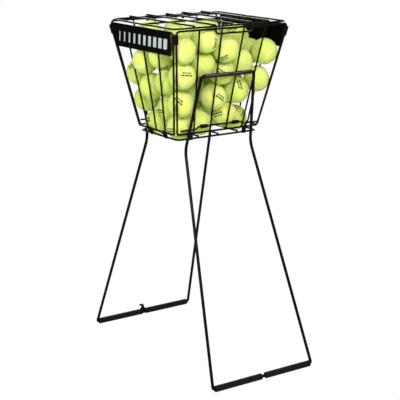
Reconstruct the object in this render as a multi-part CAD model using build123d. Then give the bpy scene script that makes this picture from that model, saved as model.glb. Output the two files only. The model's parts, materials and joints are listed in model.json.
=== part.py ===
from build123d import *
import math
import os

import numpy as np

# Ball hopper: a tapered wire basket with a hinged wire lid, standing on two
# folding leg frames that swing up over the basket to become its carrying handle.
#
# Units are millimetres. +Z is up, the floor is Z = 0 and the basket's centre is
# over X = Y = 0. The front and back panels face -Y and +Y, the end panels with
# the sign plates face -X and +X.

# ---------------------------------------------------------------- dimensions

# Rod and wire radii
LOOP_WIRE_R = 2.5          # outline wire of each basket panel and of the bottom grid
INNER_WIRE_R = 2.2         # upright wires inside the panels
LID_WIRE_R = 2.3
LEG_ROD_R = 3.8
KEEPER_WIRE_R = 2.2

# Basket, measured at the wires' centre lines
RIM_Z = 863.0
BASKET_FLOOR_Z = 601.0
SIDE_TOP_HALF = 163.5      # front and back panels: half width at the rim
SIDE_FLOOR_HALF = 121.0
SIDE_TOP_Y = 154.0
SIDE_FLOOR_Y = 88.0
END_TOP_X = 168.8          # left and right end panels
END_FLOOR_X = 126.4
END_TOP_HALF = 148.3
END_FLOOR_HALF = 82.5
END_RIM_DROP = 5.2         # end panels stop this far below the rim
PANEL_CORNER_R = 7.0
SIDE_UPRIGHTS = 4
END_UPRIGHTS = 3

# Bottom grid, hung under the panels
GRID_HALF_X = 119.5
GRID_HALF_Y = 86.5
GRID_Z = 587.7
GRID_CORNER_R = 12.0
GRID_RODS = 3
WELD_SINK = 0.3            # crossing wires of one welded piece sink in this far

# Lid
LID_HALF_X = 165.0
LID_HALF_Y = 147.0
LID_CORNER_R = 12.0
LID_PITCHES = 6            # equal spaces between the wires that run front to back
LID_REST_GAP = 0.3
LID_CROSS_SLIM = 0.05     # the cross wire is this much thinner, so that it sinks into the outline
LIP_DROP = 21.0            # finger lip, down from the lid's top wires
LIP_REACH = 5.6            # finger lip, out from the front rim wire
LIP_TOP_BEND = 6.0
LIP_LOW_BEND = 9.0
HINGE_EYE_R = 5.1          # centre line of the eyes that wrap the back rim
HINGE_EYE_LEAD = 3.0       # the wire starts to curl this far ahead of the rim
HINGE_EYE_END_DEG = -160.0

# Leg frames
PIVOT_Z = 747.5
PIVOT_TUBE_R = 5.4
PIVOT_BORE_R = 3.86
PIVOT_TUBE_HALF = 71.0
PIVOT_PIN_LENGTH = 22.0    # rod end turned into each end of the tube
LEG_TOP_HALF = 78.4
LEG_KNEE = (99.2, 90.4, 560.7)
LEG_FOOT = (152.5, 288.6)
LEG_TOP_BEND = 6.0
LEG_KNEE_BEND = 60.0
LEG_FOOT_BEND = 5.0
GRIP_R = 8.0
GRIP_BORE_R = 3.84
GRIP_INNER_END = 5.8
GRIP_OUTER_END = 147.0
GRIP_EDGE = 1.8            # rounding of the grips' ends
GRIP_FLAT = 0.3            # the grips rest on a narrow flat
BAR_SPACING = 16.4         # between the two foot bars when they meet as a handle

# Small parts
TINY = 1e-6                # shortest distance that a direction is taken from
BORE_OVERRUN = 1.0         # a bore's cutter starts and ends this far outside the sleeve
FIT_GAP = 0.03             # radial gap between a wire and the moulding round it
CORNER_CLIP_Z = 843.5
CORNER_CLIP_HALF = 12.0
CORNER_CLIP_R = 4.7
CORNER_CLIP_EDGE = 0.8
FLOOR_CLIP_R = 3.7
FLOOR_CLIP_WIDTH = 8.5
FLOOR_CLIP_X = 81.0
FLOOR_CLIP_Y = 33.8
PLATE_DROP = 55.0
PLATE_THICK = 1.5
PLATE_GAP = 0.2
PLATE_LIP = 4.0
PLATE_INSET = 6.0
PLATE_CORNER_R = 7.0
PLATE_LOW_CORNER_R = 2.0
KEEPER_Z = 617.5
KEEPER_SPAN_HALF = 63.0
KEEPER_STEP_RUN = 9.0      # sideways length of the step down to each finger
KEEPER_STEP_DROP = 6.0
KEEPER_FINGER_Y = 95.3
KEEPER_END_HALF = 114.0
KEEPER_BEND = 6.0
KEEPER_SLEEVE_X = 48.0
KEEPER_SLEEVE_R = 4.9
KEEPER_SLEEVE_EDGE = 1.0
KEEPER_SLEEVE_LENGTH = 19.0
CLIP_THICK = 8.0
CLIP_RING_R = 6.3
CLIP_BORE_R = 3.85
CLIP_JAW_R = 4.2
CLIP_MOUTH = 7.0
CLIP_REST_DEG = 46.0       # the parked clip leans out this far above level

# Tennis balls
BALL_R = 33.5
BALL_GAP = 0.35            # gap kept between a ball and anything beside it
BULGE_DEPTH = 12.0         # a ball's centre stays this far inside the wires it bulges through
BALL_SEATS = (             # centres of the outer balls before they settle, lowest first
    (-90, 50, 610), (90, -30, 615), (-25, -45, 615), (-95, -55, 615),
    (35, -60, 635), (-15, 25, 645), (-85, 0, 655), (-105, 80, 670),
    (-105, -80, 675), (-5, -80, 685), (60, -80, 695), (-25, -10, 700),
    (-120, 25, 705), (120, -85, 720), (-115, -40, 725), (-120, 95, 735),
    (-115, -100, 745), (10, -90, 750), (75, -80, 765), (-55, -95, 770),
    (-135, 30, 770), (135, -35, 785), (130, -105, 790), (-130, -35, 790),
    (0, -120, 805), (-125, -120, 810), (55, -85, 830), (-95, 85, 830),
    (-5, 95, 830), (85, 85, 830), (-60, -125, 835), (-95, -65, 840),
    (-130, 20, 840),
)
SETTLE_STEPS = 1500
SETTLE_SHARE = 0.7         # part of each overlap that one step takes away
SPOT_PITCH = 5.0           # the inner balls go on a grid this fine
SPOT_GAP = 0.4             # gap kept round an inner ball
SPOT_LOWEST_Z = 600.0
EMPTY_CORNER = (95.0, 60.0, 760.0)   # no inner ball lies right of, in front of and below this
BACK_FIRST = 0.05          # of two spots at one height, the one nearer the back fills first

FRONT = -1
BACK = 1
LEFT = -1
RIGHT = 1

BAR_Z = GRIP_R - GRIP_FLAT
LID_Z = RIM_Z + LOOP_WIRE_R + LID_WIRE_R + LID_REST_GAP
LID_TOP_Z = LID_Z + 2 * LID_WIRE_R
GRID_ROD_Z = GRID_Z + LOOP_WIRE_R + INNER_WIRE_R - WELD_SINK


# ------------------------------------------------------------ wire geometry

def mix(low, high, t):
    return low + (high - low) * t


def side_point(across, up, side):
    """Point on the front or back panel: across is -1 to 1, up is 0 at the floor and 1 at the rim."""
    x = across * mix(SIDE_FLOOR_HALF, SIDE_TOP_HALF, up)
    y = side * mix(SIDE_FLOOR_Y, SIDE_TOP_Y, up)
    return Vector(x, y, mix(BASKET_FLOOR_Z, RIM_Z, up))


def end_point(across, up, side):
    """Point on the left or right end panel, in the same terms."""
    x = side * mix(END_FLOOR_X, END_TOP_X, up)
    y = across * mix(END_FLOOR_HALF, END_TOP_HALF, up)
    return Vector(x, y, mix(BASKET_FLOOR_Z, RIM_Z - END_RIM_DROP, up))


def sweep_round(path, radius):
    section = Plane(origin=path @ 0, z_dir=path % 0) * Circle(radius)
    return sweep(section, path=path)


def bent_wire(points, bends, radius, closed=False):
    return sweep_round(FilletPolyline(*points, radius=bends, close=closed), radius)


def rod(start, end, radius):
    start = Vector(*start)
    end = Vector(*end)
    section = Plane(origin=start, z_dir=end - start) * Circle(radius)
    return extrude(section, amount=(end - start).length)


def tube_x(x_low, x_high, y, z, outer_r, bore_r, edge=0.0):
    """Round sleeve along X with its ends rounded by edge."""
    section = Plane(origin=(x_low, y, z), z_dir=(1, 0, 0)) * Circle(outer_r)
    body = extrude(section, amount=x_high - x_low)
    if edge:
        body = fillet(body.edges().filter_by(GeomType.CIRCLE), edge)
    return body - rod((x_low - BORE_OVERRUN, y, z), (x_high + BORE_OVERRUN, y, z), bore_r)


def upright_positions(count):
    """Evenly spaced positions between -1 and 1, leaving out the two ends."""
    return [-1 + 2 * (i + 1) / (count + 1) for i in range(count)]


# ------------------------------------------------------------------- basket

def panel(point, side, uprights):
    corners = [point(-1, 0, side), point(1, 0, side), point(1, 1, side), point(-1, 1, side)]
    solid = bent_wire(corners, PANEL_CORNER_R, LOOP_WIRE_R, closed=True)
    for across in upright_positions(uprights):
        solid += rod(point(across, 0, side), point(across, 1, side), INNER_WIRE_R)
    return solid


def panel_outline(point, side, radius):
    corners = [point(-1, 0, side), point(1, 0, side), point(1, 1, side), point(-1, 1, side)]
    return bent_wire(corners, PANEL_CORNER_R, radius, closed=True)


def corner_lines(x_side, y_side):
    """Where a corner clip crosses its two edge wires, and the way that they run."""
    side_up = (CORNER_CLIP_Z - BASKET_FLOOR_Z) / (RIM_Z - BASKET_FLOOR_Z)
    end_up = (CORNER_CLIP_Z - BASKET_FLOOR_Z) / (RIM_Z - END_RIM_DROP - BASKET_FLOOR_Z)
    along = side_point(x_side, 1, y_side) - side_point(x_side, 0, y_side)
    return side_point(x_side, side_up, y_side), end_point(y_side, end_up, x_side), along


def corner_clip(x_side, y_side):
    """Moulding that holds the edge wires of two neighbouring panels side by side."""
    on_side, on_end, along = corner_lines(x_side, y_side)
    plane = Plane(origin=(on_side + on_end) / 2, x_dir=on_end - on_side, z_dir=along)
    profile = SlotCenterToCenter((on_end - on_side).length, 2 * CORNER_CLIP_R)
    body = extrude(plane * profile, amount=CORNER_CLIP_HALF, both=True)
    body = chamfer(body.edges().group_by(Axis(plane.origin, plane.z_dir))[-1], CORNER_CLIP_EDGE)
    body = chamfer(body.edges().group_by(Axis(plane.origin, plane.z_dir))[0], CORNER_CLIP_EDGE)
    body -= panel_outline(side_point, y_side, LOOP_WIRE_R + FIT_GAP)
    body -= panel_outline(end_point, x_side, LOOP_WIRE_R + FIT_GAP)
    return body


def bottom_grid():
    corners = [(-GRID_HALF_X, -GRID_HALF_Y, GRID_Z), (GRID_HALF_X, -GRID_HALF_Y, GRID_Z),
               (GRID_HALF_X, GRID_HALF_Y, GRID_Z), (-GRID_HALF_X, GRID_HALF_Y, GRID_Z)]
    solid = bent_wire(corners, GRID_CORNER_R, LOOP_WIRE_R, closed=True)
    reach = GRID_HALF_Y + LOOP_WIRE_R
    for across in upright_positions(GRID_RODS):
        x = across * GRID_HALF_X
        solid += rod((x, -reach, GRID_ROD_Z), (x, reach, GRID_ROD_Z), INNER_WIRE_R)
    return solid


def floor_clip(upper, lower, along):
    """Link round a panel's bottom wire and the grid's outline wire below it."""
    upper = Vector(*upper)
    lower = Vector(*lower)
    plane = Plane(origin=(upper + lower) / 2, x_dir=upper - lower, z_dir=along)
    profile = SlotCenterToCenter((upper - lower).length, 2 * FLOOR_CLIP_R)
    body = extrude(plane * profile, amount=FLOOR_CLIP_WIDTH / 2, both=True)
    for centre in (upper, lower):
        shift = Vector(*along) * FLOOR_CLIP_WIDTH
        body -= rod(centre - shift, centre + shift, LOOP_WIRE_R + FIT_GAP)
    return body


def floor_clip_places():
    places = []
    for side in (FRONT, BACK):
        for x in (-FLOOR_CLIP_X, FLOOR_CLIP_X):
            places.append(((x, side * SIDE_FLOOR_Y, BASKET_FLOOR_Z), (x, side * GRID_HALF_Y, GRID_Z), (1, 0, 0)))
    for side in (LEFT, RIGHT):
        for y in (-FLOOR_CLIP_Y, FLOOR_CLIP_Y):
            places.append(((side * END_FLOOR_X, y, BASKET_FLOOR_Z), (side * GRID_HALF_X, y, GRID_Z), (0, 1, 0)))
    return places


def end_panel_axes(side):
    """Middle of an end panel's top wire, the way up the panel and the way out of it."""
    top = end_point(0, 1, side)
    up = (top - end_point(0, 0, side)).normalized()
    level = Vector(side, 0, 0)
    return top, up, (level - up * up.dot(level)).normalized()


def sign_plate(side):
    """Plate that hooks over an end panel's top wire and covers the panel's upper part."""
    top, up, out = end_panel_axes(side)
    inner = LOOP_WIRE_R + PLATE_GAP
    outer = inner + PLATE_THICK
    with BuildSketch() as hook:
        with BuildLine():
            Line((outer, -PLATE_DROP), (outer, 0))
            CenterArc((0, 0), outer, 0, 180)
            Line((-outer, 0), (-outer, -PLATE_LIP))
            Line((-outer, -PLATE_LIP), (-inner, -PLATE_LIP))
            Line((-inner, -PLATE_LIP), (-inner, 0))
            CenterArc((0, 0), inner, 0, 180)
            Line((inner, 0), (inner, -PLATE_DROP))
            Line((inner, -PLATE_DROP), (outer, -PLATE_DROP))
        make_face()
    across_plane = Plane(origin=top, x_dir=out, z_dir=out.cross(up))
    folded = extrude(across_plane * hook.sketch, amount=END_TOP_HALF, both=True)
    taper = (END_TOP_HALF - END_FLOOR_HALF) / (top - end_point(0, 0, side)).length
    high = END_TOP_HALF + taper * outer - PLATE_INSET
    low = END_TOP_HALF - taper * PLATE_DROP - PLATE_INSET
    face_plane = Plane(origin=top, x_dir=up.cross(out), z_dir=out)
    outline = face_plane * make_face(FilletPolyline(
        (-low, -PLATE_DROP), (low, -PLATE_DROP), (high, outer), (-high, outer),
        radius=[PLATE_LOW_CORNER_R] * 2 + [PLATE_CORNER_R] * 2, close=True))
    return folded & extrude(outline, amount=2 * outer, both=True)


# ---------------------------------------------------------------------- lid

def lid_wire_x(index):
    return -LID_HALF_X + 2 * LID_HALF_X * index / LID_PITCHES


def lid_grid():
    corners = [(-LID_HALF_X, -LID_HALF_Y, LID_Z), (LID_HALF_X, -LID_HALF_Y, LID_Z),
               (LID_HALF_X, LID_HALF_Y, LID_Z), (-LID_HALF_X, LID_HALF_Y, LID_Z)]
    solid = bent_wire(corners, LID_CORNER_R, LID_WIRE_R, closed=True)
    solid += rod((-LID_HALF_X, 0, LID_Z), (LID_HALF_X, 0, LID_Z), LID_WIRE_R - LID_CROSS_SLIM)
    reach = LID_HALF_Y + LID_WIRE_R
    for index in (1, 3, 5):
        x = lid_wire_x(index)
        z = LID_TOP_Z - WELD_SINK
        solid += rod((x, -reach, z), (x, reach, z), LID_WIRE_R)
    return solid


def hinge_eye(x):
    """Edges of one hinge eye, from its free end round the back rim to the lid's flat."""
    rise = LID_TOP_Z - RIM_Z
    lead_r = (HINGE_EYE_LEAD ** 2 / (rise - HINGE_EYE_R) + rise + HINGE_EYE_R) / 2
    meet = -math.degrees(math.atan2(rise - lead_r, HINGE_EYE_LEAD))
    frame = Plane(origin=(x, SIDE_TOP_Y, RIM_Z), x_dir=(0, 1, 0), z_dir=(1, 0, 0))
    curl = CenterArc((0, 0), HINGE_EYE_R, HINGE_EYE_END_DEG, meet - HINGE_EYE_END_DEG)
    lead = CenterArc((-HINGE_EYE_LEAD, rise - lead_r), lead_r, meet, 90 - meet)
    return [frame * curl, frame * lead]


def lid_hinge_wire():
    """One wire: eye, top run, finger lip, top run, eye."""
    x = lid_wire_x(4)
    lip_y = -SIDE_TOP_Y - LIP_REACH
    lip_z = LID_TOP_Z - LIP_DROP
    start_y = SIDE_TOP_Y - HINGE_EYE_LEAD
    run = FilletPolyline(
        (-x, start_y, LID_TOP_Z), (-x, lip_y, LID_TOP_Z), (-x, lip_y, lip_z),
        (x, lip_y, lip_z), (x, lip_y, LID_TOP_Z), (x, start_y, LID_TOP_Z),
        radius=[LIP_TOP_BEND, LIP_LOW_BEND, LIP_LOW_BEND, LIP_TOP_BEND])
    path = Wire(hinge_eye(-x) + list(run.edges()) + hinge_eye(x))
    return sweep_round(path, LID_WIRE_R)


# --------------------------------------------------------------------- legs

def wall_y(z):
    """Y of the front or back panel's wires at height z."""
    return mix(SIDE_FLOOR_Y, SIDE_TOP_Y, (z - BASKET_FLOOR_Z) / (RIM_Z - BASKET_FLOOR_Z))


def wall_cosine():
    return math.cos(math.atan2(SIDE_TOP_Y - SIDE_FLOOR_Y, RIM_Z - BASKET_FLOOR_Z))


PIVOT_Y = wall_y(PIVOT_Z) + (PIVOT_TUBE_R + INNER_WIRE_R) / wall_cosine()
KEEPER_Y = wall_y(KEEPER_Z) + (KEEPER_WIRE_R + INNER_WIRE_R) / wall_cosine()


def leg_points(side):
    """Corners of a leg frame's centre line, from one end in the tube to the other."""
    knee_x, knee_y, knee_z = LEG_KNEE
    foot_x, foot_y = LEG_FOOT
    half = [(LEG_TOP_HALF - PIVOT_PIN_LENGTH, PIVOT_Y, PIVOT_Z), (LEG_TOP_HALF, PIVOT_Y, PIVOT_Z),
            (knee_x, knee_y, knee_z), (foot_x, foot_y, BAR_Z)]
    left = [(-x, side * y, z) for x, y, z in half]
    right = [(x, side * y, z) for x, y, z in reversed(half)]
    return left + right


def leg_frame(side):
    bends = [LEG_TOP_BEND, LEG_KNEE_BEND, LEG_FOOT_BEND]
    return bent_wire(leg_points(side), bends + bends[::-1], LEG_ROD_R)


def leg_swing_deg():
    """Turn of a leg frame from standing to the bar spacing of the carrying handle."""
    out = LEG_FOOT[1] - PIVOT_Y
    length = math.hypot(out, PIVOT_Z - BAR_Z)
    splay = math.atan2(out, PIVOT_Z - BAR_Z)
    lean = math.asin((PIVOT_Y - BAR_SPACING / 2) / length)
    return 180 + math.degrees(lean - splay)


def pivot_tube(side):
    return tube_x(-PIVOT_TUBE_HALF, PIVOT_TUBE_HALF, side * PIVOT_Y, PIVOT_Z, PIVOT_TUBE_R, PIVOT_BORE_R)


def grip(side, x_side):
    ends = sorted((x_side * GRIP_INNER_END, x_side * GRIP_OUTER_END))
    sleeve = tube_x(ends[0], ends[1], side * LEG_FOOT[1], BAR_Z, GRIP_R, GRIP_BORE_R, edge=GRIP_EDGE)
    return split(sleeve, bisect_by=Plane.XY, keep=Keep.TOP)


def carry_clip():
    """Snap clip on the back foot bar: a ring round the bar and an open jaw beyond it."""
    plane = Plane(origin=(-CLIP_THICK / 2, LEG_FOOT[1], BAR_Z), x_dir=(0, 1, 0), z_dir=(1, 0, 0))
    outline = Pos(BAR_SPACING / 2, 0) * SlotCenterToCenter(BAR_SPACING, 2 * CLIP_RING_R)
    outline -= Circle(CLIP_BORE_R)
    outline -= Pos(BAR_SPACING, 0) * Circle(CLIP_JAW_R)
    outline -= Pos(BAR_SPACING, -CLIP_RING_R) * Rectangle(CLIP_MOUTH, 2 * CLIP_RING_R)
    return extrude(plane * Rot(0, 0, CLIP_REST_DEG) * outline, amount=CLIP_THICK)


# ------------------------------------------------------------------ keepers

def keeper_points(side):
    low_z = KEEPER_Z - KEEPER_STEP_DROP
    half = [(KEEPER_END_HALF, KEEPER_FINGER_Y, low_z),
            (KEEPER_SPAN_HALF + KEEPER_STEP_RUN, KEEPER_FINGER_Y, low_z),
            (KEEPER_SPAN_HALF, KEEPER_Y, KEEPER_Z)]
    left = [(-x, side * y, z) for x, y, z in half]
    return left + [(x, side * y, z) for x, y, z in reversed(half)]


def keeper_wire(side):
    points = keeper_points(side)
    solid = bent_wire(points, KEEPER_BEND, KEEPER_WIRE_R)
    for end in (points[0], points[-1]):
        solid += Pos(*end) * Sphere(KEEPER_WIRE_R)
    return solid


def keeper_sleeves(side):
    half = KEEPER_SLEEVE_LENGTH / 2
    sleeves = [tube_x(x - half, x + half, side * KEEPER_Y, KEEPER_Z, KEEPER_SLEEVE_R,
                      KEEPER_WIRE_R + FIT_GAP, edge=KEEPER_SLEEVE_EDGE)
               for x in (-KEEPER_SLEEVE_X, KEEPER_SLEEVE_X)]
    return Compound(sleeves)


# -------------------------------------------------------------------- balls

def swing(point, side, degrees):
    """Turn a point on a leg frame about its pivot, outwards and up."""
    turn = math.radians(degrees) * side
    y = point[1] - side * PIVOT_Y
    z = point[2] - PIVOT_Z
    return (point[0], side * PIVOT_Y + y * math.cos(turn) - z * math.sin(turn),
            PIVOT_Z + y * math.sin(turn) + z * math.cos(turn))


def chain(points, radius, closed=False):
    ends = points[1:] + points[:1] if closed else points[1:]
    return [(tuple(a), tuple(b), radius) for a, b in zip(points, ends)]


def ball_fences():
    """Every straight wire, rod and tube that a ball can lean on, as (start, end, radius)."""
    fences = []
    for side in (-1, 1):
        for point, uprights in ((side_point, SIDE_UPRIGHTS), (end_point, END_UPRIGHTS)):
            corners = [point(-1, 0, side), point(1, 0, side), point(1, 1, side), point(-1, 1, side)]
            fences += chain(corners, LOOP_WIRE_R, closed=True)
            for across in upright_positions(uprights):
                fences += chain([point(across, 0, side), point(across, 1, side)], INNER_WIRE_R)
        legs = leg_points(side)
        raised = [swing(point, side, leg_swing_deg()) for point in legs]
        fences += chain(legs[:4], LEG_ROD_R) + chain(legs[4:], LEG_ROD_R)
        fences += chain(raised[:4], LEG_ROD_R) + chain(raised[4:], LEG_ROD_R)
        fences += chain([legs[1], legs[-2]], PIVOT_TUBE_R)
        fences += plate_fences(side)
        fences += chain(keeper_points(side), KEEPER_SLEEVE_R)
        fences += chain([(-GRID_HALF_X, side * GRID_HALF_Y, GRID_Z), (GRID_HALF_X, side * GRID_HALF_Y, GRID_Z)],
                        LOOP_WIRE_R)
        fences += chain([(side * GRID_HALF_X, -GRID_HALF_Y, GRID_Z), (side * GRID_HALF_X, GRID_HALF_Y, GRID_Z)],
                        LOOP_WIRE_R)
    for across in upright_positions(GRID_RODS):
        x = across * GRID_HALF_X
        fences += chain([(x, -GRID_HALF_Y, GRID_ROD_Z), (x, GRID_HALF_Y, GRID_ROD_Z)], INNER_WIRE_R)
    return fences


def lid_fences():
    """The shut lid's wires: the outline and the cross wire, and the long wires on top of them."""
    fences = []
    for index in range(LID_PITCHES + 1):
        x = lid_wire_x(index)
        z = LID_TOP_Z if 0 < index < LID_PITCHES else LID_Z
        fences += chain([(x, -LID_HALF_Y, z), (x, LID_HALF_Y, z)], LID_WIRE_R)
    for y in (-LID_HALF_Y, 0, LID_HALF_Y):
        fences += chain([(-LID_HALF_X, y, LID_Z), (LID_HALF_X, y, LID_Z)], LID_WIRE_R)
    return fences


def plate_fences(side):
    """A sign plate's rolled top edge and its lower edge."""
    top, up, out = end_panel_axes(side)
    roll = math.hypot(LOOP_WIRE_R + PLATE_GAP + PLATE_THICK, PLATE_LIP)
    across = Vector(0, END_TOP_HALF, 0)
    low = top - up * PLATE_DROP + out * (LOOP_WIRE_R + PLATE_GAP + PLATE_THICK / 2)
    return chain([top - across, top + across], roll) + chain([low - across, low + across], PLATE_THICK)


def clip_fences():
    """Centre lines of the mouldings at the basket's corners and under its floor."""
    fences = []
    for x_side in (LEFT, RIGHT):
        for y_side in (FRONT, BACK):
            on_side, on_end, along = corner_lines(x_side, y_side)
            reach = along.normalized() * CORNER_CLIP_HALF
            for centre in (on_side, on_end):
                fences += chain([centre - reach, centre + reach], CORNER_CLIP_R)
    for upper, lower, along in floor_clip_places():
        reach = Vector(*along) * (FLOOR_CLIP_WIDTH / 2)
        for shift in (-reach, reach):
            fences += chain([Vector(*upper) + shift, Vector(*lower) + shift], FLOOR_CLIP_R)
    return fences


def from_fences(balls, fences):
    """Vector to each ball's centre from the nearest point of each fence, and its length."""
    starts = np.array([tuple(start) for start, end, radius in fences], dtype=float)
    runs = np.array([tuple(end) for start, end, radius in fences], dtype=float) - starts
    offset = balls[:, None, :] - starts[None, :, :]
    along = (offset * runs).sum(axis=2) / (runs * runs).sum(axis=1)
    nearest = offset - np.clip(along, 0, 1)[:, :, None] * runs
    return nearest, np.sqrt((nearest * nearest).sum(axis=2))


def push_off_fences(balls, fences, reach):
    """Move each ball out of the wires that it is pressed into."""
    nearest, distance = from_fences(balls, fences)
    depth = np.maximum(reach - distance, 0)
    return (nearest / np.maximum(distance, TINY)[:, :, None] * depth[:, :, None]).sum(axis=1)


def push_apart(balls, spacing):
    """Move each ball half of the way out of the balls that it is pressed into."""
    gap = balls[:, None, :] - balls[None, :, :]
    distance = np.sqrt((gap * gap).sum(axis=2))
    depth = np.maximum(spacing - distance, 0)
    np.fill_diagonal(depth, 0)
    return (gap / np.maximum(distance, TINY)[:, :, None] * depth[:, :, None]).sum(axis=1) / 2


def wall_limits(balls):
    """How far from the basket's middle a ball's centre may lie at its height, in X and in Y."""
    height = np.clip((balls[:, 2] - BASKET_FLOOR_Z) / (RIM_Z - BASKET_FLOOR_Z), 0, 1)
    limit_x = mix(END_FLOOR_X, END_TOP_X, height) - BULGE_DEPTH
    limit_y = mix(SIDE_FLOOR_Y, SIDE_TOP_Y, height) - BULGE_DEPTH
    return limit_x, limit_y


def hold_inside(balls):
    """Keep the centres inside the basket's walls and above its floor."""
    limit_x, limit_y = wall_limits(balls)
    balls[:, 0] = np.clip(balls[:, 0], -limit_x, limit_x)
    balls[:, 1] = np.clip(balls[:, 1], -limit_y, limit_y)
    balls[:, 2] = np.maximum(balls[:, 2], GRID_Z + BULGE_DEPTH)


def plate_depth(balls, side):
    """How far each ball is pressed into the flat inner face of a sign plate, and the way out of it."""
    top, up, out = end_panel_axes(side)
    offset = balls - np.array(tuple(top))
    height = (offset * np.array(tuple(up))).sum(axis=1)
    depth = (offset * np.array(tuple(out))).sum(axis=1) + BALL_R + BALL_GAP - LOOP_WIRE_R - PLATE_GAP
    return np.where(height > -PLATE_DROP, np.maximum(depth, 0), 0), np.array(tuple(out))


def settle_outer_balls(fences, reach):
    """Let the outer balls come to rest against the wires, the lid and each other.

    The centres are kept to a hundredth of a micron, so that the heap comes out
    the same on every computer.
    """
    balls = np.array(BALL_SEATS, dtype=float)
    for _ in range(SETTLE_STEPS):
        balls += push_apart(balls, 2 * BALL_R + BALL_GAP) * SETTLE_SHARE
        balls += push_off_fences(balls, fences, reach) * SETTLE_SHARE
        for side in (LEFT, RIGHT):
            depth, out = plate_depth(balls, side)
            balls -= depth[:, None] * out
        hold_inside(balls)
        balls = np.round(balls, 5)
    return balls


def free_spots(fences, reach):
    """Grid points inside the basket where a ball would touch no wire and no plate."""
    axes = [np.arange(low, high, SPOT_PITCH) for low, high in
            ((-END_TOP_X // SPOT_PITCH * SPOT_PITCH, END_TOP_X),
             (-SIDE_TOP_Y // SPOT_PITCH * SPOT_PITCH, SIDE_TOP_Y), (SPOT_LOWEST_Z, LID_Z))]
    spots = np.stack(np.meshgrid(*axes, indexing="ij"), axis=-1).reshape(-1, 3)
    limit_x, limit_y = wall_limits(spots)
    spots = spots[(np.abs(spots[:, 0]) < limit_x) & (np.abs(spots[:, 1]) < limit_y)]
    right, front, low = EMPTY_CORNER
    spots = spots[(spots[:, 0] < right) | (spots[:, 1] > front) | (spots[:, 2] > low)]
    for side in (LEFT, RIGHT):
        spots = spots[plate_depth(spots, side)[0] == 0]
    for fence, needed in zip(fences, reach):
        distance = from_fences(spots, [fence])[1][:, 0]
        spots = spots[distance > needed]
    return spots


def settle_balls():
    """The outer balls, then inner ones in the lowest room left, one by one."""
    fences = ball_fences() + lid_fences() + clip_fences()
    reach = np.array([radius for start, end, radius in fences]) + BALL_R + BALL_GAP
    balls = settle_outer_balls(fences, reach)
    spots = free_spots(fences, reach)
    for ball in balls:
        spots = spots[np.linalg.norm(spots - ball, axis=1) > 2 * BALL_R + SPOT_GAP]
    while len(spots):
        lowest = spots[np.argmin(spots[:, 2] - BACK_FIRST * spots[:, 1])]
        balls = np.vstack([balls, lowest])
        spots = spots[np.linalg.norm(spots - lowest, axis=1) > 2 * BALL_R + SPOT_GAP]
    return balls


def tennis_balls():
    return Compound([Pos(*centre) * Sphere(BALL_R) for centre in settle_balls()])


# ------------------------------------------------------------------- export

def build_nodes():
    nodes = {
        "front_panel": panel(side_point, FRONT, SIDE_UPRIGHTS),
        "back_panel": panel(side_point, BACK, SIDE_UPRIGHTS),
        "left_end_panel": panel(end_point, LEFT, END_UPRIGHTS),
        "right_end_panel": panel(end_point, RIGHT, END_UPRIGHTS),
        "bottom_grid": bottom_grid(),
        "bottom_clips": Compound([floor_clip(*place) for place in floor_clip_places()]),
        "left_sign_plate": sign_plate(LEFT),
        "right_sign_plate": sign_plate(RIGHT),
        "lid_grid": lid_grid(),
        "lid_hinge_wire": lid_hinge_wire(),
        "carry_clip": carry_clip(),
        "tennis_balls": tennis_balls(),
    }
    for y_name, y_side in (("front", FRONT), ("back", BACK)):
        nodes[y_name + "_pivot_tube"] = pivot_tube(y_side)
        nodes[y_name + "_leg_frame"] = leg_frame(y_side)
        nodes[y_name + "_keeper_wire"] = keeper_wire(y_side)
        nodes[y_name + "_keeper_sleeves"] = keeper_sleeves(y_side)
        for x_name, x_side in (("left", LEFT), ("right", RIGHT)):
            nodes[f"{y_name}_{x_name}_corner_clip"] = corner_clip(x_side, y_side)
            nodes[f"{y_name}_{x_name}_grip"] = grip(y_side, x_side)
    return nodes


os.makedirs("parts", exist_ok=True)
for node_name, solid in build_nodes().items():
    export_step(solid, f"parts/{node_name}.step")
print(f"leg frames swing {leg_swing_deg():.3f} degrees about Y {PIVOT_Y:.3f}, Z {PIVOT_Z:.1f}")
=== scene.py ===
"""Ball hopper: felt tennis balls in a powder-coated wire basket, on folding legs with grips."""
import math
import random

import bmesh
import bpy
import numpy as np
from mathutils import Matrix, Quaternion, Vector
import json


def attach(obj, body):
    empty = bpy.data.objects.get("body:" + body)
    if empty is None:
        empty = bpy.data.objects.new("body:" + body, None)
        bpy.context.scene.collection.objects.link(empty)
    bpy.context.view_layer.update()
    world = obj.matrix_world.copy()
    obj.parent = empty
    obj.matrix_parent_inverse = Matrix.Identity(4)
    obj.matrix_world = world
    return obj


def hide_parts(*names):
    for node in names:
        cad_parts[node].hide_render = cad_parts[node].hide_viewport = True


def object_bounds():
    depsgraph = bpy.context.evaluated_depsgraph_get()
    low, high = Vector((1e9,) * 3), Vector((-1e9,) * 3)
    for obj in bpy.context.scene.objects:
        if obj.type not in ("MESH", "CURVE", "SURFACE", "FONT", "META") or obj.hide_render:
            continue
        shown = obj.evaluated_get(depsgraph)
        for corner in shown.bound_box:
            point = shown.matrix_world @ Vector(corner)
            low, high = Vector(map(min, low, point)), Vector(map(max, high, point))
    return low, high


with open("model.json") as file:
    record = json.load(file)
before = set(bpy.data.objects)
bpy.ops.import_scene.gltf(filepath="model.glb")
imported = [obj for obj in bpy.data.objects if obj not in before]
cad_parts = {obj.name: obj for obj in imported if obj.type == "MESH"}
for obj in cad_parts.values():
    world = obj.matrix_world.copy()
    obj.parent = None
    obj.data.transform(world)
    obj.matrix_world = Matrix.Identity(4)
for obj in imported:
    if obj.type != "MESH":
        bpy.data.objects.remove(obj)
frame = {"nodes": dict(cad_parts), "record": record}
nodes = frame["nodes"]
cad_low, cad_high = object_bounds()

MM = 0.001
TAU = 2 * math.pi


# ------------------------------------------------------------------ material helpers

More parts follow.
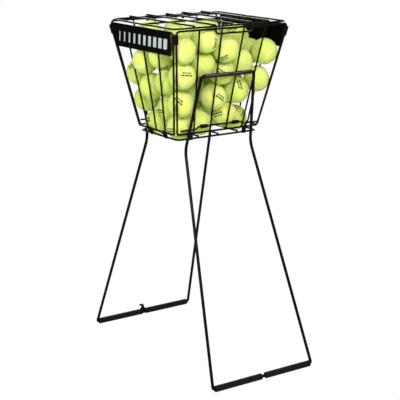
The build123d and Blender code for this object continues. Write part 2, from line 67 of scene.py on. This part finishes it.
class Nodes:
    """A material's node tree with short calls for making and linking nodes."""

    def __init__(self, name):
        self.material = bpy.data.materials.new(name)
        self.material.use_nodes = True
        self.tree = self.material.node_tree
        self.shader = self.tree.nodes["Principled BSDF"]
        self.where = self.add("ShaderNodeTexCoord").outputs["Object"]

    def add(self, kind, **values):
        node = self.tree.nodes.new(kind)
        for name, value in values.items():
            setattr(node, name, value)
        return node

    def link(self, source, target):
        self.tree.links.new(source, target)

    def noise(self, scale, detail=3.0, roughness=0.5):
        node = self.add("ShaderNodeTexNoise")
        self.link(self.where, node.inputs["Vector"])
        node.inputs["Scale"].default_value = scale
        node.inputs["Detail"].default_value = detail
        node.inputs["Roughness"].default_value = roughness
        return node.outputs["Fac"]

    def ramp(self, source, stops):
        node = self.add("ShaderNodeValToRGB")
        elements = node.color_ramp.elements
        while len(elements) < len(stops):
            elements.new(0.5)
        for element, (place, colour) in zip(elements, stops):
            element.position = place
            element.color = (*colour, 1.0)
        self.link(source, node.inputs["Fac"])
        return node.outputs["Color"]

    def math(self, operation, first, second=None, third=None):
        node = self.add("ShaderNodeMath", operation=operation)
        for index, value in enumerate((first, second, third)):
            if value is None:
                continue
            if isinstance(value, (int, float)):
                node.inputs[index].default_value = value
            else:
                self.link(value, node.inputs[index])
        return node.outputs[0]

    def bump(self, height, distance, strength):
        node = self.add("ShaderNodeBump")
        node.inputs["Distance"].default_value = distance
        node.inputs["Strength"].default_value = strength
        self.link(height, node.inputs["Height"])
        return node.outputs["Normal"]

    def set(self, **values):
        for name, value in values.items():
            socket = self.shader.inputs[name.replace("_", " ")]
            if isinstance(value, (int, float)):
                socket.default_value = value
            elif isinstance(value, tuple):
                socket.default_value = (*value, 1.0)
            else:
                self.link(value, socket)
        return self.material


def powder_coat(name, tone, roughness, specular, peel_height=0.02 * MM):
    """Black powder coat: fine orange peel, a few dull scuffs and a slight change of tone."""
    n = Nodes(name)
    peel = n.noise(900.0, 3.0, 0.55)
    patches = n.noise(22.0, 4.0, 0.6)
    scuffs = n.noise(240.0, 5.0, 0.7)
    light = tuple(1.9 * value for value in tone)
    colour = n.ramp(n.math("MULTIPLY", patches, scuffs), [(0.16, tone), (0.42, light)])
    rough = n.math("MULTIPLY_ADD", patches, 0.16, roughness - 0.08)
    return n.set(Base_Color=colour, Roughness=rough, Specular_IOR_Level=specular,
                 Normal=n.bump(peel, peel_height, 0.5))


def moulded_plastic(name, tone, roughness, specular):
    """Black moulded nylon with a fine spark-eroded grain."""
    n = Nodes(name)
    grain = n.noise(2600.0, 2.0, 0.6)
    patches = n.noise(60.0, 3.0, 0.5)
    light = tuple(1.6 * value for value in tone)
    colour = n.ramp(patches, [(0.35, tone), (0.7, light)])
    rough = n.math("MULTIPLY_ADD", grain, 0.14, roughness - 0.07)
    return n.set(Base_Color=colour, Roughness=rough, Specular_IOR_Level=specular,
                 Normal=n.bump(grain, 0.04 * MM, 0.6))


def grip_foam(name):
    """Dense black foam rubber: small closed cells, and dust on its rubbed side."""
    n = Nodes(name)
    cells = n.add("ShaderNodeTexVoronoi", feature="F1")
    n.link(n.where, cells.inputs["Vector"])
    cells.inputs["Scale"].default_value = 900.0
    dust = n.noise(70.0, 5.0, 0.65)
    colour = n.ramp(dust, [(0.35, (0.003, 0.0026, 0.0024)), (0.75, (0.007, 0.006, 0.0056))])
    rough = n.math("MULTIPLY_ADD", dust, 0.2, 0.45)
    return n.set(Base_Color=colour, Roughness=rough, Specular_IOR_Level=0.11,
                 Normal=n.bump(cells.outputs["Distance"], 0.12 * MM, 0.5))


def felt(name, tint):
    """Optic yellow felt: brushed nap with lighter tips, matted a little in patches."""
    n = Nodes(name)
    nap = n.noise(1500.0, 4.0, 0.7)
    tufts = n.noise(330.0, 4.0, 0.62)
    matted = n.noise(46.0, 4.0, 0.6)
    base = n.ramp(tufts, [(0.30, tuple(0.86 * c for c in tint)), (0.52, tint),
                          (0.74, tuple(min(1.0, 1.08 * c + 0.012) for c in tint))])
    worn = n.ramp(matted, [(0.35, (0.955, 0.965, 0.93)), (0.65, (1.0, 1.0, 1.0))])
    node = n.add("ShaderNodeMix", data_type="RGBA", blend_type="MULTIPLY")
    node.inputs[0].default_value = 1.0
    n.link(base, node.inputs[6])
    n.link(worn, node.inputs[7])
    height = n.math("MULTIPLY_ADD", tufts, 1.6, nap)
    return n.set(Base_Color=node.outputs[2], Roughness=1.0, Specular_IOR_Level=0.05,
                 Sheen_Weight=0.22, Sheen_Roughness=0.5, Sheen_Tint=(1.0, 1.0, 1.0),
                 Normal=n.bump(height, 0.35 * MM, 0.6))


def seam_rubber(name):
    """Pale glue line between the two felt panels, slightly dirty."""
    n = Nodes(name)
    dirt = n.noise(420.0, 4.0, 0.6)
    colour = n.ramp(dirt, [(0.3, (0.58, 0.66, 0.36)), (0.62, (0.78, 0.83, 0.58))])
    return n.set(Base_Color=colour, Roughness=n.math("MULTIPLY_ADD", dirt, 0.2, 0.55),
                 Specular_IOR_Level=0.25, Normal=n.bump(dirt, 0.1 * MM, 0.4))


def stamp_ink(name):
    """Dark green ink, broken up a little by the nap that it is stamped on."""
    n = Nodes(name)
    cover = n.noise(900.0, 4.0, 0.65)
    colour = n.ramp(cover, [(0.35, (0.006, 0.022, 0.008)), (0.7, (0.035, 0.075, 0.02))])
    return n.set(Base_Color=colour, Roughness=n.math("MULTIPLY_ADD", cover, 0.15, 0.75),
                 Specular_IOR_Level=0.1, Normal=n.bump(cover, 0.2 * MM, 0.5))


def sign_print(name):
    """Screen-printed pale blue-grey ink."""
    n = Nodes(name)
    cover = n.noise(520.0, 4.0, 0.6)
    colour = n.ramp(cover, [(0.3, (0.37, 0.45, 0.51)), (0.6, (0.48, 0.56, 0.62))])
    return n.set(Base_Color=colour, Roughness=n.math("MULTIPLY_ADD", cover, 0.15, 0.4),
                 Specular_IOR_Level=0.3, Normal=n.bump(cover, 0.02 * MM, 0.4))


# ------------------------------------------------------------------ tennis balls

SEAM_SHARE = 0.25          # how far the seam's wave swings from a plain circle
SEAM_WIDTH = 1.9 * MM
SEAM_STEPS = 144
FELT_ROUND = 1.4 * MM      # the felt's cut edge rolls down to the seam over this width
SEAM_DEPTH = 0.55 * MM
PANEL_STEPS = 9
PANEL_CROWD = 0.9          # below 1, the rows of a panel gather a little towards its seam
SPINE_REACH = math.radians(62)
EDGE_ROLL = ((0.0, 0.06 * MM), (0.45, 0.18 * MM), (0.8, 0.38 * MM), (1.0, SEAM_DEPTH))
SEAM_CROWN = 0.72          # the middle of the glue line lies at this share of its depth
SMALL_STEP = 1e-3
TINY = 1e-6
LUMP_WAVES = 60            # waves that add up to the felt's uneven surface
LUMP_SLOWEST, LUMP_FASTEST = 20, 95
LUMP_DEPTH = 0.16 * MM
LUMP_SWING = 0.5           # share of that depth by which one standard wave sum changes it
LUMP_FADE = 0.3 * MM       # the lumps die out over this depth at a panel's edge
MERGE_DISTANCE = 0.02 * MM


def seam_curve(t):
    """Point of the seam on a unit ball."""
    a, b = 1 - SEAM_SHARE, SEAM_SHARE
    return Vector((a * math.cos(t) + b * math.cos(3 * t), a * math.sin(t) - b * math.sin(3 * t),
                   2 * math.sqrt(a * b) * math.sin(2 * t)))


def spine_point(point, side):
    """Nearest point of the arc that runs down the middle of a felt panel."""
    along = Vector((1, -side, 0)).normalized()
    angle = math.atan2(point.dot(along), point.z * side)
    angle = max(-SPINE_REACH, min(SPINE_REACH, angle))
    return Vector((0, 0, side)) * math.cos(angle) + along * math.sin(angle)


def between(first, second, share):
    """Point on the unit ball part of the way along the arc from first to second."""
    angle = first.angle(second)
    if angle < TINY:
        return first.copy()
    return (first * math.sin((1 - share) * angle) + second * math.sin(share * angle)) / math.sin(angle)


def ball_row(t, radius):
    """Points across the ball at seam step t, from one panel's spine over the seam to the other's."""
    point = seam_curve(t)
    ahead = (seam_curve(t + SMALL_STEP) - seam_curve(t - SMALL_STEP)).normalized()
    across = point.cross(ahead).normalized()
    half = SEAM_WIDTH / 2 / radius
    arms = []
    flip = 1 if across.dot(spine_point(point, 1) - point) > 0 else -1
    for side in (1, -1):
        edge = (point + across * flip * side * half).normalized()
        roll = (point + across * flip * side * (half + FELT_ROUND / radius)).normalized()
        spine = spine_point(point, side)
        arm = [(between(roll, spine, (step / PANEL_STEPS) ** PANEL_CROWD), 0.0)
               for step in range(PANEL_STEPS, 0, -1)]
        arm += [(between(roll, edge, share), depth) for share, depth in EDGE_ROLL]
        arms.append(arm)
    return arms[0] + [(point, SEAM_DEPTH * SEAM_CROWN)] + arms[1][::-1]


MARK_TOP = 0.02 * MM       # the stamped bars end this far inside the ball's full radius
MARK_SINK = 0.5 * MM
MARK_ROWS = (              # in mm: height above the stamp's middle, bar height, the bars' starts and ends
    (3.2, 4.0, ((-14.0, -9.6), (-8.4, -5.6), (-4.4, 1.6), (2.8, 6.4), (7.6, 14.0))),
    (-3.0, 3.2, ((-11.0, -4.2), (-3.0, 0.2), (1.4, 4.6), (5.8, 11.0))),
)
MARK_STEP = 0.7 * MM


def stamp_bar(bm, radius, left, right, low, high, material_index):
    """A thin curved bar on the ball's +X side, closed all round."""
    columns = max(2, int((right - left) / MARK_STEP) + 1)
    rows = max(2, int((high - low) / MARK_STEP) + 1)
    sides = [(left + (right - left) * column / columns) / radius for column in range(columns + 1)]
    layers = []
    for shell in (radius - MARK_TOP, radius - MARK_SINK):
        layer = []
        for row in range(rows + 1):
            up = (low + (high - low) * row / rows) / radius
            layer.append([bm.verts.new(Vector((math.cos(side) * math.cos(up), math.sin(side) * math.cos(up),
                                               math.sin(up))) * shell) for side in sides])
        layers.append(layer)
    top, bottom = layers
    loops = []
    for row in range(rows):
        for c in range(columns):
            loops.append((top[row][c], top[row][c + 1], top[row + 1][c + 1], top[row + 1][c]))
            loops.append((bottom[row][c], bottom[row + 1][c], bottom[row + 1][c + 1], bottom[row][c + 1]))
        loops.append((top[row][0], top[row + 1][0], bottom[row + 1][0], bottom[row][0]))
        loops.append((top[row][-1], bottom[row][-1], bottom[row + 1][-1], top[row + 1][-1]))
    for c in range(columns):
        loops.append((top[0][c], bottom[0][c], bottom[0][c + 1], top[0][c + 1]))
        loops.append((top[-1][c], top[-1][c + 1], bottom[-1][c + 1], bottom[-1][c]))
    for corners in loops:
        bm.faces.new(corners).material_index = material_index


def ball_mesh(name, radius, seed, materials):
    """One ball: two felt panels with rolled edges, and the glue seam set in between them."""
    mesh = bpy.data.meshes.new(name)
    bm = bmesh.new()
    rng = np.random.default_rng(seed)
    waves = rng.normal(size=(LUMP_WAVES, 3))
    waves /= np.linalg.norm(waves, axis=1)[:, None]
    waves *= rng.uniform(LUMP_SLOWEST, LUMP_FASTEST, size=LUMP_WAVES)[:, None]
    phases = rng.uniform(0, TAU, size=LUMP_WAVES)
    rows = []
    for step in range(SEAM_STEPS):
        row = []
        for direction, depth in ball_row(TAU * step / SEAM_STEPS, radius):
            lump = float(np.sin(waves @ np.array(direction) + phases).sum()) / LUMP_WAVES ** 0.5
            share = max(0.0, 1 - depth / LUMP_FADE)
            sink = LUMP_DEPTH * (1 - LUMP_SWING * lump) * share
            row.append(bm.verts.new(direction * (radius - depth - sink)))
        rows.append(row)
    width = len(rows[0])
    middle = width // 2
    felt_index, seam_index, ink_index = range(3)
    for step in range(SEAM_STEPS):
        here, there = rows[step], rows[(step + 1) % SEAM_STEPS]
        for column in range(width - 1):
            face = bm.faces.new((here[column], here[column + 1], there[column + 1], there[column]))
            face.smooth = True
            face.material_index = seam_index if column in (middle - 1, middle) else felt_index
    bmesh.ops.remove_doubles(bm, verts=bm.verts, dist=MERGE_DISTANCE)
    for height, thick, spans in MARK_ROWS:
        for start, end in spans:
            low, high = (height - thick / 2) * MM, (height + thick / 2) * MM
            stamp_bar(bm, radius, start * MM, end * MM, low, high, ink_index)
    bmesh.ops.recalc_face_normals(bm, faces=bm.faces)
    bm.to_mesh(mesh)
    bm.free()
    for material in materials:
        mesh.materials.append(material)
    return mesh


SAME_BALL = 5 * MM


def ball_centres(node):
    """Middle of each separate ball in the CAD node, lowest first."""
    mesh = nodes[node].data
    points = np.empty(len(mesh.vertices) * 3)
    mesh.vertices.foreach_get("co", points)
    points = points.reshape(-1, 3)
    edges = np.empty(len(mesh.edges) * 2, dtype=int)
    mesh.edges.foreach_get("vertices", edges)
    edges = edges.reshape(-1, 2)
    label = np.arange(len(points))
    while True:
        low = np.minimum(label[edges[:, 0]], label[edges[:, 1]])
        new = label.copy()
        np.minimum.at(new, edges[:, 0], low)
        np.minimum.at(new, edges[:, 1], low)
        new = new[new]
        if (new == label).all():
            break
        label = new
    centres = []
    for island in np.unique(label):
        part = points[label == island]
        centre = (part.min(0) + part.max(0)) / 2
        if all(np.linalg.norm(centre - other) > SAME_BALL for other in centres):
            centres.append(centre)
    centres.sort(key=lambda c: (round(float(c[2]), 4), round(float(c[0]), 4)))
    return [Vector(c) for c in centres]


BALL_R = 33.5 * MM
FIRST_SHAPE_SEED = 40
TURN_SEED = 11
STAMP_SCATTER = 0.55       # how far a stamp strays from facing straight out of the basket

felts = [felt("felt_fresh", (0.585, 0.735, 0.15)), felt("felt_used", (0.57, 0.715, 0.14)),
         felt("felt_bright", (0.60, 0.75, 0.162))]
rubber = seam_rubber("ball_seam")
ink = stamp_ink("ball_stamp")
ball_meshes = [ball_mesh(f"ball_shape_{i}", BALL_R, FIRST_SHAPE_SEED + i, (cover, rubber, ink))
               for i, cover in enumerate(felts)]


def way_out(centre):
    """Level direction to the nearest wall of the basket."""
    if abs(centre.x) > abs(centre.y):
        return Vector((math.copysign(1, centre.x), 0, 0))
    return Vector((0, math.copysign(1, centre.y), 0))


def ball_turn(centre, turns):
    """A random turn that leaves the stamp more or less on the ball's outer side."""
    scatter = Vector([turns.gauss(0, STAMP_SCATTER) for _ in range(3)])
    roll = Quaternion((1, 0, 0), turns.uniform(0, TAU))
    return (way_out(centre) + scatter).to_track_quat("X", "Z") @ roll


turns = random.Random(TURN_SEED)
for number, centre in enumerate(ball_centres("tennis_balls"), 1):
    turn = ball_turn(centre, turns)
    mesh = ball_meshes[number % len(ball_meshes)].copy()
    mesh.transform(turn.to_matrix().to_4x4())
    ball = bpy.data.objects.new(f"tennis_ball_{number:02d}", mesh)
    bpy.context.collection.objects.link(ball)
    ball.location = centre
    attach(ball, "basket")
    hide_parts("tennis_balls")


# ------------------------------------------------------------------ stripes on the left sign plate

PANEL_TOP = Vector((-0.1688, 0, 0.8578))
PANEL_UP = (PANEL_TOP - Vector((-0.1264, 0, 0.601))).normalized()
PANEL_OUT = Vector((0, 1, 0)).cross(PANEL_UP).normalized() * -1
PLATE_FACE = 4.2 * MM      # the plate's outer face is this far out from the panel's wires
STRIPE_COUNT = 10
STRIPE_FIRST_Y, STRIPE_LAST_Y = 106 * MM, -108 * MM
STRIPE_THIN, STRIPE_WIDE = 4 * MM, 16 * MM
STRIPE_LOW, STRIPE_HIGH = -40 * MM, -14 * MM
STRIPE_LEAN = 9 * MM       # the top of a stripe is this much further forward than its foot
STRIPE_CORNER = 1.2 * MM
STRIPE_PROUD = 0.12 * MM
STRIPE_SINK = 0.1 * MM
CORNER_STEPS = 5


def rounded_outline(corners, radius):
    """The polygon's points with an arc at each corner."""
    outline = []
    for index, corner in enumerate(corners):
        before = (corners[index - 1] - corner).normalized()
        after = (corners[(index + 1) % len(corners)] - corner).normalized()
        half = before.angle(after) / 2
        middle = corner + (before + after).normalized() * (radius / math.sin(half))
        start = corner + before * (radius / math.tan(half)) - middle
        end = corner + after * (radius / math.tan(half)) - middle
        for step in range(CORNER_STEPS + 1):
            share = step / CORNER_STEPS
            outline.append(middle + start.slerp(end, share).normalized() * radius)
    return outline


def sign_stripes():
    """Slanted stripes of printed ink, each a little wider than the one before it."""
    mesh = bpy.data.meshes.new("sign_stripes")
    bm = bmesh.new()
    for index in range(STRIPE_COUNT):
        share = index / (STRIPE_COUNT - 1)
        y = STRIPE_FIRST_Y + (STRIPE_LAST_Y - STRIPE_FIRST_Y) * share
        half = (STRIPE_THIN + (STRIPE_WIDE - STRIPE_THIN) * share) / 2
        flat = [Vector((y + half, STRIPE_LOW)), Vector((y - half, STRIPE_LOW)),
                Vector((y - half - STRIPE_LEAN, STRIPE_HIGH)), Vector((y + half - STRIPE_LEAN, STRIPE_HIGH))]
        outline = rounded_outline(flat, STRIPE_CORNER)
        rings = []
        for offset in (PLATE_FACE - STRIPE_SINK, PLATE_FACE + STRIPE_PROUD):
            base = PANEL_TOP + PANEL_OUT * offset
            rings.append([bm.verts.new(base + PANEL_UP * height + Vector((0, side, 0)))
                          for side, height in outline])
        low_ring, high_ring = rings
        bm.faces.new(high_ring)
        bm.faces.new(low_ring[::-1])
        for here in range(len(outline)):
            after = (here + 1) % len(outline)
            bm.faces.new((low_ring[here], low_ring[after], high_ring[after], high_ring[here]))
    bmesh.ops.recalc_face_normals(bm, faces=bm.faces)
    bm.to_mesh(mesh)
    bm.free()
    mesh.materials.append(sign_print("stripe_ink"))
    stripes = bpy.data.objects.new("sign_stripes", mesh)
    bpy.context.collection.objects.link(stripes)
    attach(stripes, "basket")


sign_stripes()

# ------------------------------------------------------------------ materials of the CAD nodes

def dress(names, material):
    for name in names:
        nodes[name].data.materials.clear()
        nodes[name].data.materials.append(material)


slots = {}
for part in frame["record"]["subparts"]:
    slots.setdefault(part["material_slot"], []).append(part["node"])
dress(slots["wire"], powder_coat("wire_powder_coat", (0.001, 0.0008, 0.0008), 0.26, 0.09))
dress(slots["leg_rod"], powder_coat("leg_powder_coat", (0.0012, 0.001, 0.001), 0.24, 0.08))
dress(["front_pivot_tube", "back_pivot_tube"],
      powder_coat("tube_powder_coat", (0.0012, 0.001, 0.001), 0.13, 0.34, 0.008 * MM))
dress(slots["moulded_plastic"], moulded_plastic("clip_nylon", (0.0016, 0.0014, 0.0014), 0.5, 0.08))
dress(slots["grip_foam"], grip_foam("grip_foam_rubber"))
dress(slots["sign_plate"], moulded_plastic("plate_plastic", (0.0006, 0.0006, 0.0006), 0.45, 0.02))

# ------------------------------------------------------------------ stage, light and camera

FLOOR_HALF = 60.0
FLOOR_DROP = 0.02 * MM     # keeps the floor just clear of the feet
SKY = (0.66, 1.0, 0.52)
SKY_STRENGTH = 0.24


def make_floor():
    """Pale floor that lights the object softly and shows plain white to the camera."""
    mesh = bpy.data.meshes.new("floor")
    half = FLOOR_HALF
    mesh.from_pydata([(-half, -half, 0), (half, -half, 0), (half, half, 0), (-half, half, 0)], [],
                     [(0, 1, 2, 3)])
    floor = bpy.data.objects.new("studio_floor", mesh)
    bpy.context.collection.objects.link(floor)
    n = Nodes("studio_floor")
    tone = n.noise(0.7, 2.0)
    colour = n.ramp(tone, [(0.3, (0.54, 0.62, 0.42)), (0.7, (0.56, 0.64, 0.44))])
    n.set(Base_Color=colour, Roughness=0.9, Specular_IOR_Level=0.1)
    glow = n.add("ShaderNodeEmission")
    share = n.add("ShaderNodeMixShader")
    n.link(n.add("ShaderNodeLightPath").outputs["Is Camera Ray"], share.inputs[0])
    n.link(n.shader.outputs[0], share.inputs[1])
    n.link(glow.outputs[0], share.inputs[2])
    n.link(share.outputs[0], n.tree.nodes["Material Output"].inputs["Surface"])
    mesh.materials.append(n.material)
    floor.location.z = cad_low.z - FLOOR_DROP


def area_light(name, place, target, size, power, colour):
    data = bpy.data.lights.new(name, "AREA")
    data.shape = "DISK"
    data.size = size
    data.energy = power
    data.color = colour
    light = bpy.data.objects.new(name, data)
    bpy.context.collection.objects.link(light)
    light.location = place
    light.rotation_mode = "QUATERNION"
    light.rotation_quaternion = (Vector(target) - Vector(place)).to_track_quat("-Z", "Y")


def make_world():
    """Soft light from all round, behind a white wall that only the camera sees."""
    world = bpy.data.worlds.new("studio")
    bpy.context.scene.world = world
    world.use_nodes = True
    tree = world.node_tree
    light = tree.nodes["Background"]
    light.inputs["Color"].default_value = (*SKY, 1.0)
    light.inputs["Strength"].default_value = SKY_STRENGTH
    wall = tree.nodes.new("ShaderNodeBackground")
    wall.inputs["Color"].default_value = (1.0, 1.0, 1.0, 1.0)
    path = tree.nodes.new("ShaderNodeLightPath")
    mix = tree.nodes.new("ShaderNodeMixShader")
    tree.links.new(path.outputs["Is Camera Ray"], mix.inputs[0])
    tree.links.new(light.outputs[0], mix.inputs[1])
    tree.links.new(wall.outputs[0], mix.inputs[2])
    tree.links.new(mix.outputs[0], tree.nodes["World Output"].inputs["Surface"])


CAMERA_PLACE = Vector((-1.6643, -2.4949, 1.1767))
CAMERA_YAW, CAMERA_PITCH, CAMERA_ROLL = 0.5895, -0.2533, -0.0034
LENS_MM = 106.65
SENSOR_MM = 36.0
NEAR, FAR = 0.05, 300.0


def make_camera():
    data = bpy.data.cameras.new("camera")
    data.lens = LENS_MM
    data.sensor_width = SENSOR_MM
    data.clip_start, data.clip_end = NEAR, FAR
    camera = bpy.data.objects.new("camera", data)
    bpy.context.collection.objects.link(camera)
    forward = Vector((math.sin(CAMERA_YAW) * math.cos(CAMERA_PITCH),
                      math.cos(CAMERA_YAW) * math.cos(CAMERA_PITCH), math.sin(CAMERA_PITCH)))
    level = forward.cross(Vector((0, 0, 1))).normalized()
    rise = level.cross(forward)
    right = math.cos(CAMERA_ROLL) * level + math.sin(CAMERA_ROLL) * rise
    up = -math.sin(CAMERA_ROLL) * level + math.cos(CAMERA_ROLL) * rise
    turn = Matrix((right, up, -forward)).transposed()
    camera.matrix_world = Matrix.Translation(CAMERA_PLACE) @ turn.to_4x4()
    bpy.context.scene.camera = camera


LIGHTS = (                 # name, place, target, diameter, watts, colour
    ("key", (-1.0, -2.95, 2.5), (0, 0, 0.75), 1.8, 152, (1.0, 0.79, 0.98)),
    ("fill_left", (-3.3, -0.6, 1.7), (0, 0, 0.7), 2.0, 80, (1.0, 0.92, 0.98)),
    ("edge_right", (2.27, -2.6, 3.15), (0, -0.1, 0.75), 0.45, 24, (1.0, 0.94, 1.0)),
    ("top", (0.4, 0.8, 4.2), (0, 0, 0.8), 2.6, 10, (0.88, 1.0, 0.84)),
    ("fill_back", (1.7, 3.2, 1.9), (0, 0, 0.7), 1.8, 80, (1.0, 0.87, 0.94)),
)

make_floor()
make_world()
for settings in LIGHTS:
    area_light(*settings)
make_camera()
scene = bpy.context.scene
scene.view_settings.view_transform = "Standard"
scene.view_settings.look = "None"
